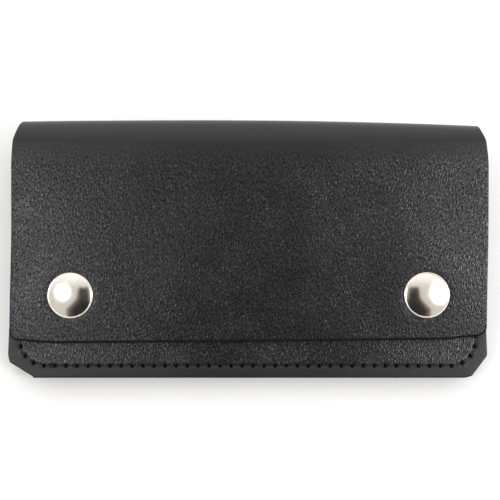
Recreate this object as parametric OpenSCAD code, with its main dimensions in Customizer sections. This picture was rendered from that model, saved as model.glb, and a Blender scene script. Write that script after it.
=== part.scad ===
// Long leather chain wallet with a snap-down flap.
// It lies on its back: X runs across the width, +Y towards the fold at the top,
// +Z out of the front. The origin is under the middle of the back face.

/* [Body] */
// Width of the stitched pocket body at its bottom edge
body_w = 167; // [157:1:177]
// Height from the bottom edge to the crown of the fold
body_h = 91; // [90:1:93]
// Radius of the two lower corners
corner_r = 9; // [8.5:0.5:11]
// Distance from the middle of the lower left corner's arc to the straight cut across it
corner_cut = 7.4; // [7:0.1:9]
// The same for the lower right corner, which is cut less
right_cut = 7.9; // [7:0.1:9]
// Distance from the edge of the body to the perimeter seam
seam_margin = 4.1; // [4:0.1:5]
// Radius of the perimeter seam round the lower corners
seam_r = 9; // [7:0.5:9]
// Distance from one needle hole to the next
stitch_pitch = 3.8; // [3.5:0.05:4.5]

/* [Leather] */
// Thickness of the cover, which is the back, the fold and the flap
cover_t = 1.5; // [1.3:0.1:1.6]
// Thickness of the front panel
front_t = 1.5; // [1.3:0.1:1.6]
// Thickness of the divider behind the card pockets
divider_t = 1; // [0.8:0.1:1.1]
// Thickness of each card pocket
card_t = 0.6; // [0.5:0.1:0.7]
// Thickness of the back of the coin pocket
coin_t = 0.8; // [0.6:0.1:0.9]

/* [Flap] */
// Width of the flap
flap_w = 165; // [160:1:166]
// Outer radius of the fold
fold_r = 9.5; // [9.5:0.1:10]
// Slope of the closed flap, down from the fold to its edge
flap_slope = 6; // [5.5:0.1:6]
// Height of the flap's lower edge, measured from the middle of the body
flap_edge_y = -33.1; // [-35:0.1:-31]
// How much lower the flap's left corner hangs than its right corner
flap_slant = 1.4; // [0:0.1:2]
// Radius of the flap's two corners
flap_corner_r = 3.4; // [3:0.1:5]

/* [Snaps] */
// Distance of each snap from the middle of the wallet
snap_x = 61.4; // [58:0.2:64]
// Height of the snaps, measured from the middle of the body
snap_y = -17.2; // [-18:0.2:-15]
// Radius of the domed cap
cap_r = 7.9; // [7.5:0.1:8.2]

/* [Pockets] */
// Upper edge of the front panel
front_edge = 6; // [5:0.5:6]
// Upper edge of the back of the coin pocket
coin_edge = 20; // [20:0.5:21]
// Upper edge of the lowest card pocket
card_edge = 22; // [21.5:0.5:22.5]
// Step from one card pocket's edge up to the next
card_step = 3.5; // [3:0.5:3.5]
// Upper edge of the divider
divider_edge = 32; // [32:0.5:32.5]
// Right-hand end of the card pockets
card_right = 15; // [12:1:30]

/* [Zipper] */
// Height of the zipper's centre line, measured from the middle of the body
zip_y = 10.5; // [10.5:0.1:11]
// Distance between two teeth on one tape
tooth_pitch = 2.2; // [2.2:0.1:2.6]
// Where the slider stands when the zipper is closed
slider_x = 62; // [50:1:64]

/* [Chain eyelet] */
// Distance of the eyelet from the middle of the wallet
eyelet_x = 71; // [68:1:72]
// Height of the eyelet, measured from the middle of the body
eyelet_y = 26; // [26:0.1:26.4]
// Radius of the eyelet's hole
eyelet_r = 2.4; // [2:0.1:2.5]

/* [Hidden] */
SIDES = ["left", "right"];

// Round edges
ARC = 64;
FINE = 40;
// Colours
BLACK_LEATHER = "#303032";
LINING = "#262628";
TAPE = "#1c1c1e";
NICKEL = "#c9c4ba";
THREAD = "#141416";

// Levels of the layers above the surface that the wallet lies on
bill_gap = 0.5;
coin_play = 0.2;
hem_t = 0.8;
tape_t = 0.5;
filler_w = 8;
z_divider = cover_t + bill_gap;
z_cards = z_divider + divider_t;
z_coin = z_cards + 3 * card_t + coin_play;
z_hem = z_coin + coin_t;
z_tape = z_hem + hem_t;
z_front = z_tape + tape_t;
z_face = z_front + front_t;

// The fold: a half turn and the flap's slope, with a hinge line a quarter of the way in from each end
low_y = -body_h / 2;
fold_y = body_h / 2 - fold_r;
turn = 180 + flap_slope;
hinge_low = -90 + turn / 4;
hinge_high = -90 + 3 * turn / 4;
flap_start = -90 + turn;
hinge_slit = 0.3;
flap_top_y = fold_y + fold_r * cos(flap_start);
flap_top_z = fold_r + fold_r * sin(flap_start);

// Perimeter seam, a U from the mouth of the pockets round the bottom
seam_x = body_w / 2 - seam_margin;
seam_low = low_y + seam_margin;
seam_top = divider_edge - 1.5;
seam_side = seam_top - seam_low - seam_r;
seam_corner = PI * seam_r / 2;
seam_bottom = 2 * (seam_x - seam_r);
seam_length = 2 * seam_side + 2 * seam_corner + seam_bottom;
stitch_count = floor(seam_length / stitch_pitch);
thread_w = 0.55;
thread_t = 0.35;
stitch_l = stitch_pitch - 1;
groove_w = 0.9;
groove_t = 0.5;
edge_clear = 1.6;

// Direction of the cut across the lower left corner
CUT_ANGLE = 239;
RIGHT_CUT_ANGLE = 322;

// Snaps
metal_t = 0.35;
barrel_r = 1.9;
barrel_bore = 1.35;
barrel_hole = 1.95;
cap_rim = 0.4;
cap_rise = 1.2;
cap_shell = 0.4;
socket_r = 6.2;
socket_wall_r = 4.9;
socket_bore = 3.5;
socket_h = 2.2;
stud_base_r = 6;
stud_neck_r = 2.6;
stud_bead = 0.35;
stud_h = 2.1;
post_r = 5.2;

// Zipper
zip_half = 70;
tape_half = 81;
tape_gap = 1.7;
tape_low = -1;
tape_high = coin_edge - 0.5;
tooth_w = 0.95;
tooth_t = 1.6;
tooth_reach = 0.7;
tooth_leg = 2.8;
tooth_count = floor(2 * zip_half / tooth_pitch);
slider_l = 9;
slider_w = 7.4;
slider_wall = 0.7;
slider_plate = 0.8;
slip = 0.2;
z_slider = z_tape + tooth_t + slip;
loop_r = 1.35;
loop_wire = 0.35;
bail_l = 5.6;
bail_w = 0.8;
bail_z = z_slider + slider_plate + slip + loop_r + loop_wire;
pull_l = 14;
pull_w = 5.6;
pull_t = 0.9;
pull_tilt = 7.5;

// Chain eyelet
eyelet_wall = 0.5;
eyelet_flange = 5.2;
eyelet_metal = 0.4;
eyelet_sink = 0.05;

// Half the width of the body at a height y; the sides draw in a little towards the fold
function side_x(y) =
    body_w / 2 - (body_w - flap_w) / 2 * (y - low_y - corner_r) / (fold_y - low_y - corner_r);

// Height of the closed flap's outer face at y
function flap_z(y) = flap_top_z - (flap_top_y - y) * tan(flap_slope);

// Height at which a snap's stud and socket meet, and the y of the stud's own axis under the cap
z_snap = z_face + stud_h - 0.6;
stud_y = snap_y + (flap_z(snap_y) - z_snap) * tan(flap_slope);

// Point and heading of the perimeter seam at a distance s from its upper left end
function seam_at(s) =
    s < seam_side ? [-seam_x, seam_top - s, -90]
    : s < seam_side + seam_corner ? seam_bend(-1, 180 + 90 * (s - seam_side) / seam_corner)
    : s < seam_side + seam_corner + seam_bottom
        ? [s - seam_side - seam_corner - seam_bottom / 2, seam_low, 0]
    : s < seam_length - seam_side
        ? seam_bend(1, 270 + 90 * (s - seam_side - seam_corner - seam_bottom) / seam_corner)
    : [seam_x, seam_top - (seam_length - s), 90];
function seam_bend(side, angle) = [
    side * (seam_x - seam_r) + seam_r * cos(angle),
    seam_low + seam_r + seam_r * sin(angle),
    angle + 90
];

// Level of the uppermost layer under the seam at y
function seam_level(y) = y < front_edge ? z_face : y < coin_edge ? z_front : z_cards;

// Whether a stitch lies clear of the edges where that level changes
function stitch_lies(x, y) =
    y < front_edge - edge_clear
    || (y > zip_y + tape_gap + edge_clear && y < tape_high - edge_clear)
    || y > (x > 0 ? coin_edge : card_edge + 2 * card_step) + edge_clear;

// Points along an arc, from one angle to another
function arc(x, y, r, from, to, steps = 16) = [
    for (i = [0 : steps])
        let (angle = from + (to - from) * i / steps)
            [x + r * cos(angle), y + r * sin(angle)]
];

// Points along a lower corner of a layer: an arc, cut straight where the cut lies inside it
function cut_corner(x, y, r, start, cut, cut_angle, steps = 24) = [
    for (i = [0 : steps])
        let (angle = start + 90 * i / steps, near = min(r, cut / cos(angle - cut_angle)))
            [x + near * cos(angle), y + near * sin(angle)]
];

// Outline of a layer of the body, up to its own upper edge
module body_outline(top, inset = 0) {
    r = corner_r - inset;
    x = body_w / 2 - inset - r;
    y = low_y + inset + r;
    top_half = side_x(top) - inset;
    polygon(concat(
        cut_corner(-x, y, r, 180, corner_cut - inset, CUT_ANGLE),
        cut_corner(x, y, r, 270, right_cut - inset, RIGHT_CUT_ANGLE),
        [[top_half, top], [-top_half, top]]
    ));
}

// A flat layer of the body
module layer(z, t, top, inset = 0) {
    translate([0, 0, z])
        linear_extrude(t)
            body_outline(top, inset);
}

// The curved cover between two angles, from +Y towards +Z, round an axis along X through the origin
module curved_cover(from, to, w) {
    rotate([90, 0, 90])
        rotate([0, 0, from])
            rotate_extrude(angle = to - from, $fn = 2 * ARC)
                translate([fold_r - cover_t, -w / 2])
                    square([cover_t, w]);
}

// The same, round the fold's own axis
module fold_arc(from, to, w) {
    translate([0, fold_y, fold_r])
        curved_cover(from, to, w);
}

// Area inside the perimeter seam, grown by a margin
module seam_area(grow) {
    r = seam_r + grow;
    translate([-seam_x - grow, seam_low + seam_r])
        square([2 * (seam_x + grow), seam_top - seam_low - seam_r]);
    translate([-seam_x + seam_r, seam_low - grow])
        square([2 * (seam_x - seam_r), r + 1]);
    for (side = [-1, 1])
        translate([side * (seam_x - seam_r), seam_low + seam_r])
            circle(r, $fn = ARC);
}

// Channel that the back thread is drawn down into
module seam_groove() {
    translate([0, 0, -1])
        linear_extrude(1 + groove_t)
            difference() {
                seam_area(groove_w / 2);
                seam_area(-groove_w / 2);
            }
}

// Back of the wallet: the cover from the bottom edge to the fold's first hinge line
module back_panel() {
    color(BLACK_LEATHER)
        difference() {
            union() {
                layer(0, cover_t, fold_y);
                fold_arc(-90, hinge_low - hinge_slit / 2, flap_w);
            }
            seam_groove();
            translate([eyelet_x, eyelet_y, -1])
                cylinder(r = eyelet_r + eyelet_wall, h = 1 + 2 * cover_t, $fn = FINE);
            translate([eyelet_x, eyelet_y, -1])
                cylinder(r = eyelet_flange, h = 1 + eyelet_sink + eyelet_metal, $fn = FINE);
        }
}

// Crown of the fold, between the two hinge lines
module fold_strip() {
    color(BLACK_LEATHER)
        fold_arc(hinge_low + hinge_slit / 2, hinge_high - hinge_slit / 2, flap_w);
}

// Places children on the closed flap's outer face, at height y and distance x from the middle
module on_flap(x, y) {
    translate([x, y, flap_z(y)])
        rotate([flap_slope, 0, 0])
            children();
}

// Flap outline, drawn down from the end of the fold
module flap_outline() {
    half = flap_w / 2;
    r = flap_corner_r;
    reach = (flap_top_y - flap_edge_y) / cos(flap_slope);
    polygon(concat(
        [[-half, 0]],
        arc(-half + r, r - reach - flap_slant / 2, r, 180, 270),
        arc(half - r, r - reach + flap_slant / 2, r, 270, 360),
        [[half, 0]]
    ));
}

// Flap, from the fold's second hinge line to its free edge
module flap() {
    color(BLACK_LEATHER)
        difference() {
            union() {
                on_flap(0, flap_top_y) {
                    translate([0, 0, -fold_r])
                        curved_cover(90, hinge_high + hinge_slit / 2 - flap_slope, flap_w);
                    translate([0, 0, -cover_t])
                        linear_extrude(cover_t)
                            flap_outline();
                }
            }
            for (side = [-1, 1])
                on_flap(side * snap_x, snap_y)
                    translate([0, 0, -2 * cover_t])
                        cylinder(r = barrel_hole, h = 3 * cover_t, $fn = FINE);
        }
}

// Divider between the bill compartment and the card pockets
module bill_divider() {
    color(LINING)
        difference() {
            layer(z_divider, divider_t, divider_edge, 0.4);
            translate([eyelet_x, eyelet_y, z_divider - 1])
                cylinder(r = eyelet_r + eyelet_wall, h = divider_t + 2, $fn = FINE);
        }
}

// One card pocket; step 0 is the lowest and the nearest to the front
module card_pocket(step) {
    color(LINING)
        translate([0, 0, z_cards + (2 - step) * card_t])
            linear_extrude(card_t)
                intersection() {
                    body_outline(card_edge + step * card_step, 0.6);
                    translate([-body_w / 2, low_y])
                        square([body_w / 2 + card_right, body_h]);
                }
}

// Strip that takes up the height of the card pockets where they end, along the bottom and the right side
module filler_strip() {
    color(LINING)
        translate([0, 0, z_cards])
            linear_extrude(z_coin - z_cards)
                difference() {
                    intersection() {
                        body_outline(coin_edge, 0.5);
                        translate([card_right, low_y])
                            square([body_w, body_h]);
                    }
                    translate([card_right - 1, low_y + filler_w])
                        square([side_x(coin_edge) - filler_w - card_right + 1, body_h]);
                }
}

// Back of the coin pocket, with its edges turned over to the front all round
module coin_pocket_back() {
    hem_w = 5.6;
    color(LINING) {
        difference() {
            layer(z_coin, coin_t + hem_t, coin_edge, 0.5);
            translate([0, 0, z_hem])
                linear_extrude(2 * hem_t)
                    intersection() {
                        body_outline(coin_edge, 0.5 + hem_w);
                        translate([-body_w / 2, low_y])
                            square([body_w, coin_edge - hem_w - low_y]);
                    }
        }
    }
}

// Front panel, the piece that carries the studs and shows below the flap
module front_panel() {
    color(BLACK_LEATHER)
        difference() {
            layer(z_front, front_t, front_edge);
            for (side = [-1, 1])
                translate([side * snap_x, stud_y, z_front - 1])
                    cylinder(r = barrel_hole, h = front_t + 2, $fn = FINE);
        }
}

// One zipper tape, between two heights
module zipper_tape(low, high) {
    color(TAPE)
        translate([-tape_half, low, z_tape])
            cube([2 * tape_half, high - low, tape_t]);
}

// One tooth, reaching from the upper tape down across the centre line
module tooth() {
    translate([-tooth_w / 2, -tooth_reach, z_tape])
        cube([tooth_w, tape_gap + tooth_reach, tooth_t]);
    translate([-tooth_w / 2, tape_gap, z_front])
        cube([tooth_w, tooth_leg - tape_gap, tooth_t - tape_t]);
}

// Row of teeth on the upper tape, or mirrored on the lower one, half a pitch along
module zipper_teeth(lower) {
    color(NICKEL)
        for (i = [0 : tooth_count - 1])
            translate([-zip_half + (i + (lower ? 0 : 0.5)) * tooth_pitch, zip_y, 0])
                mirror([0, lower ? 1 : 0, 0])
                    tooth();
}

// A clip across the end of the teeth
module zipper_stop(x) {
    color(NICKEL)
        translate([x - 1, zip_y - tape_gap, z_tape])
            cube([2, 2 * tape_gap, tooth_t]);
}

// Slider: a plate over the teeth with two turned-down sides and a bail for the pull
module zipper_slider() {
    color(NICKEL)
        translate([slider_x, zip_y, z_slider]) {
            translate([-slider_l / 2, -slider_w / 2, 0])
                cube([slider_l, slider_w, slider_plate]);
            for (side = [-1, 1])
                translate([-slider_l / 2, side * (slider_w - slider_wall) / 2 - slider_wall / 2, 0])
                    translate([0, 0, z_front + slip - z_slider])
                        cube([slider_l, slider_wall, z_slider - z_front]);
            for (side = [-1, 1])
                translate([side * (bail_l - bail_w) / 2 - bail_w / 2, -bail_w / 2, slider_plate])
                    cube([bail_w, bail_w, bail_z + bail_w / 2 - z_slider - slider_plate]);
            translate([-bail_l / 2, -bail_w / 2, bail_z - bail_w / 2 - z_slider])
                cube([bail_l, bail_w, bail_w]);
        }
}

// Pull: a loop round the bail, and a flat tab that lies down over the front panel
module zipper_pull() {
    color(NICKEL)
        translate([slider_x, zip_y, bail_z]) {
            rotate([0, 90, 0])
                rotate_extrude($fn = FINE)
                    translate([loop_r, 0])
                        circle(loop_wire, $fn = FINE);
            translate([0, -loop_r, 0])
                rotate([pull_tilt, 0, 0])
                    translate([0, 0, -pull_t / 2])
                        linear_extrude(pull_t)
                            pull_outline();
        }
}

// Pull tab: a round end and a narrow neck, with a small hole at its free end
module pull_outline() {
    neck_w = 2.4;
    neck_l = 4;
    difference() {
        union() {
            translate([-neck_w / 2, -neck_l])
                square([neck_w, neck_l]);
            translate([-pull_w / 2, -pull_l + pull_w / 2])
                square([pull_w, pull_l - pull_w / 2 - neck_l + 1]);
            translate([0, -pull_l + pull_w / 2])
                circle(pull_w / 2, $fn = FINE);
        }
        translate([0, -pull_l + pull_w / 2])
            circle(1.1, $fn = FINE);
    }
}

// Cap: a thin dome with a rolled rim, and the barrel that passes through the flap
module snap_cap(side) {
    dome_r = (cap_r * cap_r + cap_rise * cap_rise) / (2 * cap_rise);
    lip_z = -cover_t - 2 * metal_t;
    color(NICKEL)
        on_flap(side * snap_x, snap_y) {
            rotate_extrude($fn = ARC)
                translate([cap_r - cap_rim, cap_rim])
                    circle(cap_rim, $fn = FINE);
            difference() {
                intersection() {
                    translate([0, 0, cap_rim + cap_rise - dome_r])
                        sphere(dome_r, $fn = 2 * ARC);
                    translate([0, 0, cap_rim])
                        cylinder(r = cap_r - 0.1, h = 2 * cap_rise, $fn = ARC);
                }
                translate([0, 0, cap_rim + cap_rise - dome_r])
                    sphere(dome_r - cap_shell, $fn = 2 * ARC);
            }
            difference() {
                union() {
                    translate([0, 0, lip_z])
                        cylinder(r = barrel_r, h = cap_rise - lip_z, $fn = FINE);
                    translate([0, 0, lip_z])
                        cylinder(r = barrel_r + 0.7, h = metal_t, $fn = FINE);
                }
                translate([0, 0, lip_z - 1])
                    cylinder(r = barrel_bore, h = cover_t + 2, $fn = FINE);
            }
        }
}

// Socket: the ring under the flap that closes over the stud
module snap_socket(side) {
    color(NICKEL)
        on_flap(side * snap_x, snap_y)
            translate([0, 0, -cover_t])
                difference() {
                    union() {
                        translate([0, 0, -metal_t])
                            cylinder(r = socket_r, h = metal_t, $fn = ARC);
                        translate([0, 0, -socket_h])
                            cylinder(r = socket_wall_r, h = socket_h, $fn = ARC);
                    }
                    translate([0, 0, -socket_h - 1])
                        cylinder(r = socket_bore, h = socket_h + 1 - metal_t, $fn = ARC);
                    translate([0, 0, -2])
                        cylinder(r = barrel_hole, h = 4, $fn = FINE);
                }
}

// Stud: a base on the front panel and a beaded neck that the socket grips
module snap_stud(side) {
    color(NICKEL)
        translate([side * snap_x, stud_y, z_face]) {
            difference() {
                union() {
                    cylinder(r = stud_base_r, h = metal_t, $fn = ARC);
                    cylinder(r = stud_neck_r, h = stud_h - stud_bead, $fn = FINE);
                }
                translate([0, 0, -1])
                    cylinder(r = stud_neck_r - 0.5, h = stud_h + 2, $fn = FINE);
            }
            translate([0, 0, stud_h - stud_bead])
                rotate_extrude($fn = FINE)
                    translate([stud_neck_r - 0.1, 0])
                        circle(stud_bead, $fn = FINE);
        }
}

// Post: the eyelet behind the front panel that clinches the stud
module snap_post(side) {
    color(NICKEL)
        translate([side * snap_x, stud_y, z_front])
            difference() {
                union() {
                    translate([0, 0, -metal_t])
                        cylinder(r = post_r, h = metal_t, $fn = ARC);
                    cylinder(r = barrel_r, h = front_t + stud_h / 2, $fn = FINE);
                }
                translate([0, 0, -1])
                    cylinder(r = barrel_bore, h = front_t + stud_h + 2, $fn = FINE);
            }
}

// Eyelet for the chain: a flange let into the back and a barrel rolled over its washer
module chain_eyelet() {
    lip_z = z_cards + eyelet_metal;
    color(NICKEL)
        translate([eyelet_x, eyelet_y, 0])
            difference() {
                union() {
                    translate([0, 0, eyelet_sink])
                        cylinder(r = eyelet_flange - 0.1, h = eyelet_metal, $fn = ARC);
                    translate([0, 0, eyelet_sink])
                        cylinder(
                            r = eyelet_r + eyelet_wall - 0.05,
                            h = lip_z + eyelet_metal - eyelet_sink,
                            $fn = ARC
                        );
                    translate([0, 0, lip_z])
                        cylinder(r = eyelet_r + 2 * eyelet_wall, h = eyelet_metal, $fn = ARC);
                }
                translate([0, 0, -1])
                    cylinder(r = eyelet_r, h = lip_z + 3, $fn = ARC);
            }
}

// Washer of the eyelet, on the front of the divider
module eyelet_washer() {
    color(NICKEL)
        translate([eyelet_x, eyelet_y, z_cards])
            difference() {
                cylinder(r = eyelet_flange - 0.2, h = eyelet_metal, $fn = ARC);
                translate([0, 0, -1])
                    cylinder(r = eyelet_r + eyelet_wall, h = 3, $fn = ARC);
            }
}

// Stitches of the perimeter seam that show on the front, layer by layer
module seam_thread_front() {
    color(THREAD)
        for (i = [0 : stitch_count - 1]) {
            at = seam_at((i + 0.5) * seam_length / stitch_count);
            if (stitch_lies(at[0], at[1]))
                translate([at[0], at[1], seam_level(at[1]) + thread_t / 2])
                    rotate([0, 0, at[2]])
                        cube([stitch_l, thread_w, thread_t], center = true);
        }
}

// Stitches of the perimeter seam in their channel on the back
module seam_thread_back() {
    color(THREAD)
        for (i = [0 : stitch_count - 1]) {
            at = seam_at((i + 0.5) * seam_length / stitch_count);
            translate([at[0], at[1], groove_t - thread_t / 2])
                rotate([0, 0, at[2]])
                    cube([stitch_l, thread_w, thread_t], center = true);
        }
}

// Two rows of stitches that hold the zipper tapes
module zipper_seam_thread() {
    rows = [[front_edge - 2, z_face], [tape_high - 2, z_front]];
    count = floor(2 * (seam_x - 4) / stitch_pitch);
    color(THREAD)
        for (row = rows)
            for (i = [0 : count - 1])
                translate([(i + 0.5 - count / 2) * stitch_pitch, row[0], row[1] + thread_t / 2])
                    cube([stitch_l, thread_w, thread_t], center = true);
}

back_panel();
fold_strip();
flap();
bill_divider();
card_pocket(2);  // card_pocket_upper
card_pocket(1);  // card_pocket_middle
card_pocket(0);  // card_pocket_lower
filler_strip();
coin_pocket_back();
front_panel();
zipper_tape(zip_y + tape_gap, tape_high);  // zipper_tape_upper
zipper_tape(tape_low, zip_y - tape_gap);  // zipper_tape_lower
zipper_teeth(false);  // zipper_teeth_upper
zipper_teeth(true);  // zipper_teeth_lower
zipper_stop(zip_half + 1);  // zipper_stop_closed
zipper_stop(-zip_half - 2);  // zipper_stop_open
zipper_slider();
zipper_pull();
for (i = [0, 1]) {
    snap_cap(2 * i - 1);
    snap_socket(2 * i - 1);
    snap_stud(2 * i - 1);
    snap_post(2 * i - 1);
}
chain_eyelet();
eyelet_washer();
seam_thread_front();
seam_thread_back();
zipper_seam_thread();
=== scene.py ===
"""A long black leather wallet with a snap-down flap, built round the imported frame.

Shapes are worked out in millimetres in the row frame, and mesh() turns them into metres.
A sheet of leather is a grid in flat coordinates: across the wallet, and along the leather.
"""
import math

import bmesh
import bpy
import numpy as np
from mathutils import Matrix, Vector, noise


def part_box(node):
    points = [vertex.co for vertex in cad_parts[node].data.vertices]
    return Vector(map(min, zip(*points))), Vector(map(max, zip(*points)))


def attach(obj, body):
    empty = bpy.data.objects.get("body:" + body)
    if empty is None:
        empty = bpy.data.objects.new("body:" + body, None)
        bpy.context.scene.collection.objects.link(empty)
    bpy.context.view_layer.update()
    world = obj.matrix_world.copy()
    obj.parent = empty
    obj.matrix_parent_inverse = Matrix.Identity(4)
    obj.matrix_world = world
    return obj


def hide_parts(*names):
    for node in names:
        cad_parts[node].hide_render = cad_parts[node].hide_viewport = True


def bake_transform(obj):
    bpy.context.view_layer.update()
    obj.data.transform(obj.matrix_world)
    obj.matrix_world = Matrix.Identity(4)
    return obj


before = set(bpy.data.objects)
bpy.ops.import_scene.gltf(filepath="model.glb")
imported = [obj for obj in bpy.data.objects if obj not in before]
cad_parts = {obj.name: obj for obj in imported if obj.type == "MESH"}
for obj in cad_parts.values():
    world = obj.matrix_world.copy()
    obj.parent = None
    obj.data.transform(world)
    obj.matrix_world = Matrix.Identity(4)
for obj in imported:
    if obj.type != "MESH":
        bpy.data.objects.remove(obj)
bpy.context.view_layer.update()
MM = 0.001

# ---------------------------------------------------------------- sizes


def box_mm(node):
    """Lowest and highest corner of a CAD node, in millimetres."""
    low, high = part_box(node)
    return low / MM, high / MM


_, strip_high = box_mm("fold_strip")
flap_low, flap_high = box_mm("flap")
front_low, front_high = box_mm("front_panel")
divider_low, divider_high = box_mm("bill_divider")
coin_low, coin_high = box_mm("coin_pocket_back")
_, lower_tape_high = box_mm("zipper_tape_lower")
upper_tape_low, upper_tape_high = box_mm("zipper_tape_upper")
cap_low, cap_high = box_mm("snap_cap_right")
stud_low, stud_high = box_mm("snap_stud_right")
washer_low, washer_high = box_mm("eyelet_washer")

COVER_T = 1.5
BODY_W = front_high.x - front_low.x
LOW_Y = front_low.y
FLAP_W = flap_high.x - flap_low.x
FOLD_R = flap_high.z / 2
FOLD_Y = strip_high.y - FOLD_R
CORNER_R = 9.0
# Each lower corner is cut straight across: its side, how far the cut is from the middle of the
# arc, and the way it faces
CORNER_CUTS = [(-1, 7.4, math.radians(239)), (1, 7.9, math.radians(322))]
FACE_Z = front_high.z
FRONT_Y = front_high.y
ZIP_Y = (lower_tape_high.y + upper_tape_low.y) / 2

# The flap slopes down from the end of the fold. Its left corner hangs lower than its right one
SLOPE = math.radians(6)
FOLD_TURN = math.pi + SLOPE
FOLD_LENGTH = FOLD_R * FOLD_TURN
SPLIT = FOLD_LENGTH / 2
FLAP_SLANT = 1.4
FLAP_CORNER_R = 3.4
FLAP_TOP_Y = FOLD_Y - FOLD_R * math.sin(SLOPE)
FLAP_TOP_Z = FOLD_R + FOLD_R * math.cos(SLOPE)
FLAP_REACH = 68.48

# Snaps: the middle of each, and how far down the leather it sits
SNAP_X = (cap_low.x + cap_high.x) / 2
SNAP_Y = -17.2
SNAP_S = FOLD_LENGTH + (FLAP_TOP_Y - SNAP_Y) / math.cos(SLOPE)
STUD_Y = (stud_low.y + stud_high.y) / 2
BARREL_HOLE_R = 1.95

# Chain eyelet
EYELET_X = (washer_low.x + washer_high.x) / 2
EYELET_Y = (washer_low.y + washer_high.y) / 2
EYELET_HOLE_R = 2.9

# Perimeter seam, a U from the mouth of the pockets round the bottom
SEAM_MARGIN = 4.1
SEAM_R = 9.0
SEAM_X = BODY_W / 2 - SEAM_MARGIN
SEAM_LOW = LOW_Y + SEAM_MARGIN
SEAM_TOP = divider_high.y - 1.5
SEAM_SIDE = SEAM_TOP - SEAM_LOW - SEAM_R
SEAM_BEND = math.pi * SEAM_R / 2
SEAM_BOTTOM = 2 * (SEAM_X - SEAM_R)
SEAM_LENGTH = 2 * SEAM_SIDE + 2 * SEAM_BEND + SEAM_BOTTOM
STITCHES = int(SEAM_LENGTH / 3.8)
PITCH = SEAM_LENGTH / STITCHES

# The zipper's two rows of stitches
ZIP_PITCH = 3.75
ZIP_MARGIN = 2.0

# How far apart grid lines lie at a rounded edge, measured in from it
EDGE = np.array([0.0, 0.07, 0.2, 0.4, 0.7])

# ---------------------------------------------------------------- materials


class Graph:
    """A material's node graph, built line by line."""

    def __init__(self, name):
        self.material = bpy.data.materials.new(name)
        self.material.use_nodes = True
        self.tree = self.material.node_tree
        self.shader = self.tree.nodes["Principled BSDF"]

    def node(self, kind, inputs, output=0, **settings):
        """Adds a node and returns one of its outputs. Inputs are values, or outputs to link from."""
        made = self.tree.nodes.new(kind)
        for name, value in settings.items():
            setattr(made, name, value)
        for socket, value in inputs.items():
            self.feed(made.inputs[socket], value)
        return made.outputs[output]

    def feed(self, socket, value):
        if isinstance(value, bpy.types.NodeSocket):
            self.tree.links.new(value, socket)
        else:
            socket.default_value = value

    def object_mm(self):
        """Object coordinates in millimetres."""
        place = self.node("ShaderNodeTexCoord", {}, output=3)
        return self.scaled(place, (1000, 1000, 1000))

    def attribute(self, name, output=1):
        """A mesh attribute: output 1 is a vector, 2 a number."""
        return self.node("ShaderNodeAttribute", {}, output=output, attribute_name=name)

    def scaled(self, vector, scale):
        return self.node("ShaderNodeMapping", {0: vector, 3: scale}, vector_type="POINT")

    def noise(self, vector, scale, detail=2.0, roughness=0.5, output=0):
        inputs = {"Vector": vector, "Scale": scale, "Detail": detail, "Roughness": roughness}
        return self.node("ShaderNodeTexNoise", inputs, output=output)

    def cells(self, vector, scale):
        """Distance to the nearest border between irregular cells."""
        inputs = {"Vector": vector, "Scale": scale}
        return self.node("ShaderNodeTexVoronoi", inputs, feature="DISTANCE_TO_EDGE")

    def ribs(self, vector, scale, distortion, direction):
        inputs = {"Vector": vector, "Scale": scale, "Distortion": distortion, "Detail Scale": 2.0}
        return self.node("ShaderNodeTexWave", inputs, output=1, bands_direction=direction)

    def math(self, operation, a, b):
        return self.node("ShaderNodeMath", {0: a, 1: b}, operation=operation)

    def mixed(self, a, share_a, b, share_b):
        """a and b added up, each times its share."""
        return self.math("ADD", self.math("MULTIPLY", a, share_a), self.math("MULTIPLY", b, share_b))

    def fit(self, value, low, high, to_low=0.0, to_high=1.0):
        """Maps low..high smoothly onto to_low..to_high."""
        inputs = {0: value, 1: low, 2: high, 3: to_low, 4: to_high}
        return self.node("ShaderNodeMapRange", inputs, interpolation_type="SMOOTHSTEP")

    def ramp(self, value, stops):
        """A colour ramp; stops are (position, (r, g, b))."""
        made = self.tree.nodes.new("ShaderNodeValToRGB")
        self.feed(made.inputs[0], value)
        elements = made.color_ramp.elements
        while len(elements) < len(stops):
            elements.new(0.5)
        for element, (position, colour) in zip(elements, stops):
            element.position = position
            element.color = (*colour, 1.0)
        return made.outputs[0]

    def warp(self, vector, by, amount):
        """Pushes coordinates about by a noise colour."""
        half = (0.5, 0.5, 0.5)
        centred = self.node("ShaderNodeVectorMath", {0: by, 1: half}, operation="SUBTRACT")
        moved = self.node("ShaderNodeVectorMath", {0: centred, "Scale": amount}, operation="SCALE")
        return self.node("ShaderNodeVectorMath", {0: vector, 1: moved}, operation="ADD")

    def bump(self, height, distance):
        """distance is the relief in millimetres for a height of 1."""
        inputs = {"Height": height, "Distance": distance * MM, "Strength": 1.0}
        return self.node("ShaderNodeBump", inputs)

    def finish(self, **inputs):
        """Feeds the shader; socket names are written with _ for a space."""
        for name, value in inputs.items():
            self.feed(self.shader.inputs[name.replace("_", " ")], value)
        return self.material


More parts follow.
